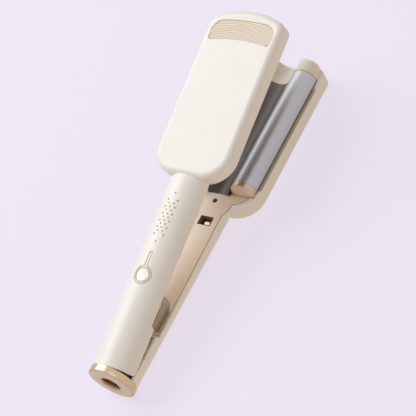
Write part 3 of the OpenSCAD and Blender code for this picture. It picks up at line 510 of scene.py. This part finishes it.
def coat(name, colour, roughness, metallic):
    """A sprayed ceramic coat: fine brush lines along the barrel under a speckled gloss."""
    made = Finish(bpy.data.materials.new(name))
    place = made.node("ShaderNodeTexCoord", output=3)
    drawn = made.node("ShaderNodeMapping", None, {"Vector": place, "Scale": (1.0, 0.015, 1.0)})
    lines = made.node("ShaderNodeTexNoise", None, {"Vector": drawn, "Scale": 700.0,
                                                   "Detail": 2.0})
    speckle = made.node("ShaderNodeTexNoise", None, {"Vector": place, "Scale": 2600.0})
    cloud = made.node("ShaderNodeTexNoise", None, {"Vector": place, "Scale": 22.0})
    shade = lines * 0.4 + speckle * 0.3 + cloud * 0.3
    darker = tuple(c * 0.93 for c in colour)
    lighter = tuple(min(1.0, c * 1.05) for c in colour)
    body = made.node("ShaderNodeBsdfPrincipled", None, {
        "Base Color": made.colour_mix(shade, darker, lighter), "Metallic": metallic,
        "Roughness": roughness + (lines - 0.5) * 0.04 + (cloud - 0.5) * 0.04,
        "Normal": made.node("ShaderNodeBump", None, {"Strength": 0.02, "Distance": 0.0002,
                                                     "Height": shade})})
    made.node("ShaderNodeOutputMaterial", None, {"Surface": body})
    return made.owner


barrel_r, barrel_in_r, barrel_back = 11.5, 9.9, 8.0
barrel_x, barrel_sink, barrel_lift = 23.0, 2.75, 7.65
barrel_start, barrel_end = 199.0, 318.0
barrel_len, end_ease = barrel_end - barrel_start, 0.35
barrel_coat = coat("grey_ceramic", (0.52, 0.53, 0.50), 0.42, 0.8)


def barrel(back):
    """An arc of wall thickness carried along Y, its outer edge drawn in by a small arc at both
    ends; back is -1 where it is cut open below and 1 where it is cut open above."""
    outer_cut, inner_cut = np.arcsin(barrel_back / barrel_r), np.arcsin(barrel_back / barrel_in_r)
    outer = np.linspace(-outer_cut, np.pi + outer_cut, 97)
    inner = np.linspace(np.pi + inner_cut, -inner_cut, 65)
    near = np.array([0.0, 0.1, end_ease, 1.0])
    station = np.concatenate([near, (30.0, 60.0, 90.0), barrel_len - near[::-1]])
    inset = np.minimum(station, barrel_len - station)
    left = np.maximum(end_ease - inset, 0)
    drawn_in = end_ease - np.sqrt(np.maximum(end_ease ** 2 - left ** 2, 0))
    r = np.concatenate([
        np.broadcast_to(barrel_r - drawn_in[:, None], (station.size, outer.size)),
        np.full((station.size, inner.size), barrel_in_r)], 1)
    a = np.broadcast_to(np.concatenate([outer, inner]), r.shape)
    y = np.broadcast_to(barrel_start + station[:, None], r.shape)
    return np.stack([r * np.cos(a), y, -back * r * np.sin(a)], -1)


for name, node, x in (("barrel_left", "lower_barrel_left", -barrel_x),
                      ("barrel_right", "lower_barrel_right", barrel_x)):
    settle(surface(name, placed(barrel(-1) + (x, 0, -barrel_sink)), barrel_coat), "lower_arm",
           "barrel_coat", node)

trim = metal("champagne_trim", (0.62, 0.49, 0.30), 0.42, streak=(1.0, 0.02, 1.0))
eased("lower_bands", "barrel_bands", trim, "lower_arm", "champagne_trim", edge=0.2)
eased("lower_end_caps", "barrel_caps", peach, "lower_arm", "peach_plastic", edge=0.25)
heater_metal = metal("heater_aluminium", (0.60, 0.60, 0.61), 0.4)
frame_plastic = plastic("heat_proof_plastic", (0.16, 0.13, 0.11), 0.55, 0.0, mottle=0.1,
                        grain=0.08)
eased("lower_heaters", "barrel_heaters", heater_metal, "lower_arm", "heater_metal", edge=0.2)
eased("lower_carriers", "heater_carriers", frame_plastic, "lower_arm", "heat_plastic", edge=0.2)
eased("lower_chassis", "lower_inner_frame", frame_plastic, "lower_arm", "heat_plastic", edge=0.2)

# ---- Trough ----
# A pressed aluminium plate between the lower barrels, coated dark, that follows the upper
# barrel's curve.
dark_coat = coat("dark_ceramic", (0.145, 0.125, 0.112), 0.5, 0.5)
eased("lower_trough", "trough_plate", dark_coat, "lower_arm", "dark_plate", edge=0.15)

# Thin brown gaskets show where the barrels and the trough meet the nose.
cap_seam = plastic("seam_brown", (0.40, 0.28, 0.155), 0.6, 0.0, mottle=0.1)
seam_r, ring_r, saddle_r, saddle_y = 0.22, barrel_r - 0.08, 13.32, 309.98
nose_turn = np.linspace(-0.6, np.pi + 0.6, 60)
rim_path = np.stack([barrel_x + ring_r * np.cos(nose_turn), np.full(60, barrel_end + 0.05),
                     ring_r * np.sin(nose_turn) - barrel_sink], -1)
saddle_turn = np.radians(np.linspace(-152, -28, 50))
saddle_path = np.stack([saddle_r * np.cos(saddle_turn), np.full(50, saddle_y),
                        barrel_lift + saddle_r * np.sin(saddle_turn)], -1)
settle(surface("nose_seams", [placed(tube(path * (side, 1, 1), seam_r, (0, 1, 0), 8))
                              for path, side in ((rim_path, 1), (rim_path, -1), (saddle_path, 1))],
               cap_seam), "lower_arm", "tan_plastic")

# ---- Guard strips ----
# Khaki rubbery strips pressed into the long rims, with fine slanting ribs for grip, each
# running out in a point at the nose.
strip_start, strip_point, highlight_start, highlight_full = 200.05, 329.0, 306.0, 313.0


def strip_rubber():
    """Khaki rubber that turns cream-white over the last part of the strip, beside the barrels'
    ends, as a painted highlight.
    """
    made = Finish(bpy.data.materials.new("khaki_with_painted_highlight"))
    place = made.node("ShaderNodeTexCoord", output=3)
    y = made.node("ShaderNodeSeparateXYZ", None, {0: place}, output=1)
    # This ramp along Y paints the highlight near the nose.
    turn = made.node("ShaderNodeMapRange", {"interpolation_type": "SMOOTHSTEP"}, {
        0: y, 1: (highlight_start - tail_middle) / 1000, 2: (highlight_full - tail_middle) / 1000,
        3: 0.0, 4: 1.0})
    cloud = made.node("ShaderNodeTexNoise", None, {"Vector": place, "Scale": 120.0, "Detail": 4.0})
    skin = made.node("ShaderNodeTexNoise", None, {"Vector": place, "Scale": 1500.0})
    worn = made.colour_mix(cloud, (0.40, 0.34, 0.235), (0.47, 0.405, 0.29))
    made.node("ShaderNodeOutputMaterial", None, {"Surface": made.node(
        "ShaderNodeBsdfPrincipled", None, {
            "Base Color": made.colour_mix(turn, worn, (0.93, 0.90, 0.85)),
            "Roughness": 0.55 + (cloud - 0.5) * 0.1 - turn * 0.25,
            "Normal": made.node("ShaderNodeBump", None, {"Strength": 0.1, "Distance": 0.0002,
                                                         "Height": skin})})})
    return made.owner


strip_finish = strip_rubber()
rib_pitch, rib_height, rib_slant = 1.3, 0.13, 0.9
strip_inner, taper_start, taper = 35.0, 318.1, 2.6 / 14.9
nose_corner_y, nose_corner_x, nose_corner_r = 324.5, 32.0, 4.9
strip_across = np.array([[0.0, 0.0, 0.04, 0.15, 0.35, 0.6, 0.8, 0.92, 0.98, 1.0, 1.0]])
strip_z = np.array([[-4.7, -3.45, -3.26, -3.22, -3.36, -3.55, -3.68, -3.78, -3.92, -4.1, -4.7]])


def guard_strip():
    """Across u the section climbs the inner wall, slopes over the top and falls down the outer
    wall; along v both edges follow the rim, and slanting ribs lift the top by a cosine."""
    y = np.linspace(strip_start, strip_point, 1000)[:, None]
    inner = strip_inner - taper * np.maximum(y - taper_start, 0)
    past = np.clip(y - nose_corner_y, 0, nose_corner_r - 0.01)
    outer = nose_corner_x + np.sqrt(nose_corner_r ** 2 - past ** 2)
    outer = np.maximum(outer, inner + 0.08)
    x = inner + (outer - inner) * strip_across
    ribbed = np.clip(strip_across * 8, 0, 1) * np.clip((1 - strip_across) * 8, 0, 1)
    fade = np.clip((taper_start + 2.9 - y) / 3, 0, 1) * np.clip((y - strip_start) / 2, 0, 1)
    ribs = 0.5 + 0.5 * np.cos(2 * np.pi * (y + rib_slant * x) / rib_pitch)
    z = strip_z + rib_height * ribs * ribbed * fade
    return np.stack([x, np.broadcast_to(y, x.shape), np.broadcast_to(z, x.shape)], -1)


for count, side in enumerate((1, -1)):
    strip = surface(f"guard_strip_{count + 1}", placed(guard_strip() * (side, 1, 1)), strip_finish,
                    smooth=50.0)
    settle(strip, "lower_arm", "khaki_trim", *(("guard_strips",) if count == 0 else ()))

# ---- Upper case ----
# The upper half in the same cream plastic, with its own nose cap, and the inner cover
# screwed up into it.


def raised(points):
    """Points of the closed upper arm, turned open about the hinge and put on the table."""
    x, y, z = np.moveaxis(np.asarray(points, float), -1, 0)
    y, z = y - hinge_y, z - hinge_z
    c, s = np.cos(open_angle), np.sin(open_angle)
    return placed(np.stack([x, hinge_y + c * y - s * z, hinge_z + s * y + c * z], -1))


eased("upper_shell", "upper_case", cream_gloss, "upper_arm", "cream_shell")
eased("upper_nose", "upper_nose_cap", cream_gloss, "upper_arm", "cream_shell", edge=0.25)
# The upper cover takes the same tan, with its painted shade.
eased("upper_cover", "upper_inner_cover", shaded_cover_satin, "upper_arm", "inner_cream", edge=0.25)
for count, y in enumerate((62.0, 171.0)):
    head = screw_head(screw_r, 1.0, (0.0, y, 12.27), -1)
    settle(surface(f"upper_cover_screw_{count + 1}", raised(head), steel, smooth=30.0),
           "upper_arm", "steel", *(("upper_screws",) if count == 0 else ()))

# ---- Upper barrel and side plates ----
# The meshing barrel, with the same coat, band and cap as the lower pair, between two dark
# plates curved round the lower barrels.
settle(surface("barrel_upper", raised(barrel(1) + (0, 0, barrel_lift)), barrel_coat),
       "upper_arm", "barrel_coat", "upper_barrel")
eased("upper_band", "upper_barrel_band", trim, "upper_arm", "champagne_trim", edge=0.2)
eased("upper_end_cap", "upper_barrel_cap", peach, "upper_arm", "peach_plastic", edge=0.25)
eased("upper_side_plates", "side_plates", dark_coat, "upper_arm", "dark_plate", edge=0.15)
eased("upper_heater", "upper_barrel_heater", heater_metal, "upper_arm", "heater_metal", edge=0.2)
eased("upper_carrier", "upper_heater_carrier", frame_plastic, "upper_arm", "heat_plastic",
      edge=0.2)
eased("upper_chassis", "upper_inner_frame", frame_plastic, "upper_arm", "heat_plastic", edge=0.2)

# ---- Grille and vents ----
# Cream slats over a gold-brown ground let air through the face near the nose, and a strip of
# the same brown shows in the vent holes on the handle.
gold_brown = plastic("gold_brown", (0.64, 0.43, 0.19), 0.45, 0.1)
eased("vent_backing", "vent_strip", gold_brown, "upper_arm", "tan_plastic", edge=0.0)

handle_r, vent_y, vent_pitch, vent_reach, vent_r = 20.0, 139.0, 3.0857, 4.65, 0.87
vent_turns = np.linspace(0, 2 * np.pi, 17)[:-1]
cup_r = (0.02, 0.5, vent_r, vent_r, 0.02)
cup_sink = np.array([[0.42], [0.38], [0.3], [1.2], [1.2]])
vent_rows = {0: (-0.5, 0.5), 1: (-1, 0, 1), 2: (-0.5, 0.5), 3: (-1, 0, 1), 4: (-0.5, 0.5),
             5: (-1, 1), 7: (0,)}
vents = []
for row in range(-7, 8):
    for place in vent_rows.get(abs(row), ()):
        r, a = np.meshgrid(cup_r, vent_turns, indexing="ij")
        x = place * vent_reach + r * np.cos(a)
        y = vent_y + row * vent_pitch + r * np.sin(a)
        vents.append(raised(np.stack([x, y, np.sqrt(handle_r ** 2 - x ** 2) - cup_sink], -1)))
settle(surface("vent_meshes", vents, gold_brown), "upper_arm", "tan_plastic")

slat_low, slat_arc, slat_pitch, slat_half, slat_count = 302.22, 160.0, 1.62, 0.54, 11
slat_foot, slat_height, slat_taper = 0.85, 0.68, 0.2
grille_half, grille_low = 30.8, 300.1
grille_x, grille_y, grille_corner, grille_arch, face_z = 20.0, 309.5, 11.0, 1.2, 20.5


def slat_y(row, x):
    """Y of a slat's middle line: circles of one radius, one pitch apart."""
    return slat_low + (row + 0.5) * slat_pitch - slat_arc + np.sqrt(slat_arc ** 2 - x ** 2)


def grille_top(x, inset):
    """Y of the grille's nose edge: a shallow parabola that ends in a round corner each side."""
    past = np.maximum(abs(x) - grille_x, 0)
    u = np.minimum(abs(x) / grille_x, 1)
    reach = grille_corner - inset
    return grille_y - grille_arch * u ** 2 + np.sqrt(np.maximum(reach ** 2 - past ** 2, 0))


def slat(row):
    """A flat-topped bar along an arc, from side to side of the grille: its height rises as
    the square root of a sine, and both width and height shrink over its last 0.2 mm."""
    x = np.linspace(0, grille_half + 0.05, 800)
    y = slat_y(row, x)
    inside = (y + slat_half < grille_top(x, 0.1)) & (y - slat_half > grille_low)
    reach = x[np.argmin(inside) - 1] if not inside.all() else grille_half
    x = reach * np.sin(np.linspace(-np.pi / 2, np.pi / 2, 49))[:, None]
    full = np.sqrt(np.clip((reach - abs(x)) / slat_taper, 0.01, 1))
    turn = np.linspace(0, np.pi, 9)[None, :]
    y = slat_y(row, x) + slat_half * full * np.cos(turn)
    z = face_z - slat_foot + slat_height * full * np.sqrt(np.sin(turn))
    return np.stack([np.broadcast_to(x, z.shape), y, z], -1)


settle(surface("grille_bars", [raised(slat(row)) for row in range(slat_count)], cream_gloss),
       "upper_arm", "cream_shell")
edge_x = (grille_half + 0.1) * np.sin(np.linspace(-np.pi / 2, np.pi / 2, 61))
low_edge = np.maximum(slat_y(-0.5, edge_x) - 0.25, grille_low - 0.1)
ground = np.concatenate([np.column_stack([edge_x, low_edge]),
                         np.column_stack([edge_x, grille_top(edge_x, 0.1)])[::-1]])
ground = np.stack([np.column_stack([ground, np.full(len(ground), face_z - depth)])
                   for depth in (1.1, 0.53)])
settle(surface("grille_ground", raised(ground), gold_brown), "upper_arm", "tan_plastic", "grille")

# A fine tan line set in the face along the brow over the grille is painted shade of the
# crease at the brow's edge.
brow_y, brow_bend, brow_r = 323.3, 0.0075, 0.17
brow_x = np.linspace(-25, 26.5, 60)
brow = np.stack([brow_x, brow_y - brow_bend * brow_x ** 2, np.full(60, face_z - 0.06)], -1)
brow_width = brow_r * np.sin(np.linspace(0.08, np.pi - 0.08, 60))[:, None, None]
brow_crease_shade = plastic("brow_crease_shade", (0.72, 0.57, 0.38), 0.5, 0.0)
settle(surface("brow_line", raised(tube(brow, brow_width, (0, 0, 1), 8)), brow_crease_shade),
       "upper_arm", "tan_plastic")

# ---- Power button ----
# A dished cream button in a bezel whose tongue points up the handle. Both are seen by the
# fine gold-brown line that fills the gap round them.
button_y, bezel_r, tongue_half, tongue_y = 88.0, 7.75, 1.25, 107.25
button_r, button_foot, inner_line_r = 6.1, 15.65, 6.31


def dial(rings):
    """Rings of (radius, drop, hold) round the button's axis: the height is the handle's curve
    less the drop where hold is 1, and the drop itself, from the arm's axis, where it is 0."""
    rings = np.asarray(rings, float)
    a, r = np.meshgrid(turns, rings[:, 0], indexing="ij")
    drop, hold = np.broadcast_to(rings[:, 1], r.shape), np.broadcast_to(rings[:, 2], r.shape)
    x, y = r * np.cos(a), r * np.sin(a)
    z = hold * (np.sqrt(handle_r ** 2 - x ** 2) - drop) + (1 - hold) * drop
    return np.stack([x, button_y + y, z], -1).transpose(1, 0, 2)


button_gloss = plastic("button_gloss", (0.90, 0.87, 0.83), 0.26, 0.5)
button_skin = dial([(0.01, 0.75, 1), (1.5, 0.72, 1), (3.0, 0.62, 1), (4.2, 0.46, 1), (5.0, 0.3, 1),
                    (5.5, 0.22, 1), (5.85, 0.28, 1), (6.03, 0.42, 1), (button_r, 0.62, 1),
                    (button_r, button_foot, 0), (0.01, button_foot, 0)])
settle(surface("push_button", raised(button_skin), button_gloss, smooth=50.0), "button",
       "cream_shell", "power_button")
eased("button_bezel", "button_surround", cream_gloss, "upper_arm", "champagne_trim", edge=0.3)
eased("button_board", "switch_board", board_green, "upper_arm", "board_green", edge=0.0)

gold_line = metal("gold_line", (0.45, 0.29, 0.13), 0.5)
corner = np.arcsin(tongue_half / bezel_r)
round_ring = np.linspace(np.pi / 2 - corner, corner - 1.5 * np.pi, 90)
round_tip = np.linspace(np.pi, 0, 13)
rise = np.linspace(button_y + bezel_r * np.cos(corner), tongue_y, 20)[1:-1]
keyhole = np.concatenate([
    np.stack([bezel_r * np.cos(round_ring), button_y + bezel_r * np.sin(round_ring)], -1),
    np.stack([np.full(18, -tongue_half), rise], -1),
    np.stack([tongue_half * np.cos(round_tip), tongue_y + tongue_half * np.sin(round_tip)], -1),
    np.stack([np.full(18, tongue_half), rise[::-1]], -1)])
dial_turn = np.linspace(0, 2 * np.pi, 91)[:-1]
inner_line = np.stack([inner_line_r * np.cos(dial_turn),
                       button_y + inner_line_r * np.sin(dial_turn)], -1)


def on_handle(path, sink):
    """Points of a plan laid on the handle's curve, less a depth."""
    return np.column_stack([path, np.sqrt(handle_r ** 2 - path[:, 0] ** 2) - sink])


lines = [raised(tube(on_handle(path, sink), radius, (0, 0, 1), 8, True))
         for path, sink, radius in ((keyhole, 0.12, 0.36), (inner_line, 0.1, 0.19))]
settle(surface("bezel_lines", lines, gold_line, ends="join"), "upper_arm", "champagne_trim")
